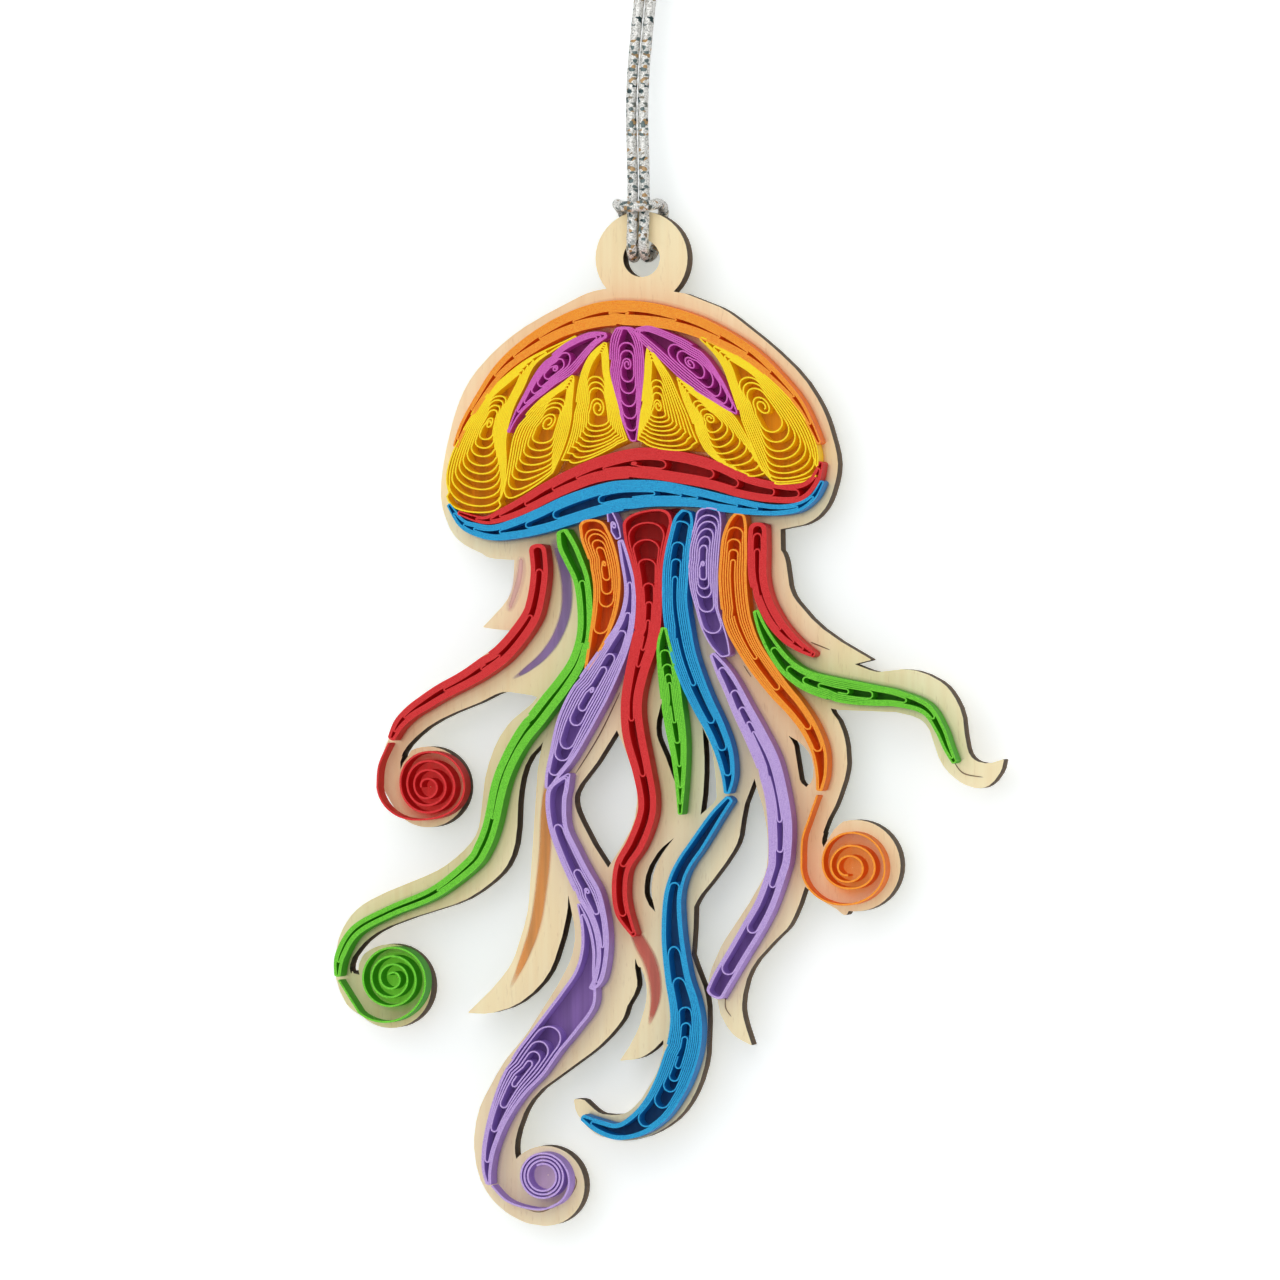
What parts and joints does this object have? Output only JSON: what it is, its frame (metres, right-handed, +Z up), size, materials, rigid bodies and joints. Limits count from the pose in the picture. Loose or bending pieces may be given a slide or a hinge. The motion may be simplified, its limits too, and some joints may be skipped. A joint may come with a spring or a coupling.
{
  "type": "quilled paper ornament",
  "caption": "Jellyfish ornament of coloured paper strips coiled on edge on a flat wooden board with curling arms, hung from a braided cord loop.",
  "frame": {"origin": "Inside the top of the cord's loop, under its knot, where the loop bears on a hook.", "axes": "+Z is up as the ornament hangs, the paper coils face -Y, and +X is to the right seen from the front."},
  "size_m": [0.0748, 0.0078, 0.1788],
  "materials": {
    "plywood": "bare thin plywood with laser-charred edges",
    "cord_braid": "silver braided cord",
    "paper_yellow": "matt coloured paper strip",
    "paper_orange": "matt coloured paper strip",
    "paper_magenta": "matt coloured paper strip",
    "paper_red": "matt coloured paper strip",
    "paper_blue": "matt coloured paper strip",
    "paper_lilac": "matt coloured paper strip",
    "paper_green": "matt coloured paper strip"
  },
  "bodies": {
    "root": {"backing_board": "plywood", "orange_crescent": "paper_orange", "red_rim": "paper_red", "blue_rim": "paper_blue", "red_left_tentacle": "paper_red", "green_left_tentacle": "paper_green", "lilac_loop": "paper_lilac", "lilac_upper_tentacle": "paper_lilac", "lilac_middle_tentacle": "paper_lilac", "lilac_lower_tentacle": "paper_lilac", "red_centre_tentacle": "paper_red", "green_leaf": "paper_green", "blue_upper_tentacle": "paper_blue", "blue_lower_tentacle": "paper_blue", "lilac_right_tentacle": "paper_lilac", "orange_right_tentacle": "paper_orange", "red_right_tentacle": "paper_red", "green_right_tentacle": "paper_green", "yellow_lobe_1": "paper_yellow", "yellow_lobe_2": "paper_yellow", "yellow_lobe_3": "paper_yellow", "yellow_lobe_4": "paper_yellow", "yellow_lobe_5": "paper_yellow", "yellow_lobe_6": "paper_yellow", "magenta_petal_1": "paper_magenta", "magenta_petal_2": "paper_magenta", "magenta_petal_3": "paper_magenta", "orange_leaf": "paper_orange", "lilac_coil_top": "paper_lilac", "red_left_scroll": "paper_red", "green_left_scroll": "paper_green", "lilac_scroll": "paper_lilac", "orange_right_scroll": "paper_orange", "cord_left": "cord_braid", "cord_right": "cord_braid", "cord_hitch": "cord_braid", "cord_knot": "cord_braid"}
  },
  "joints": []
}
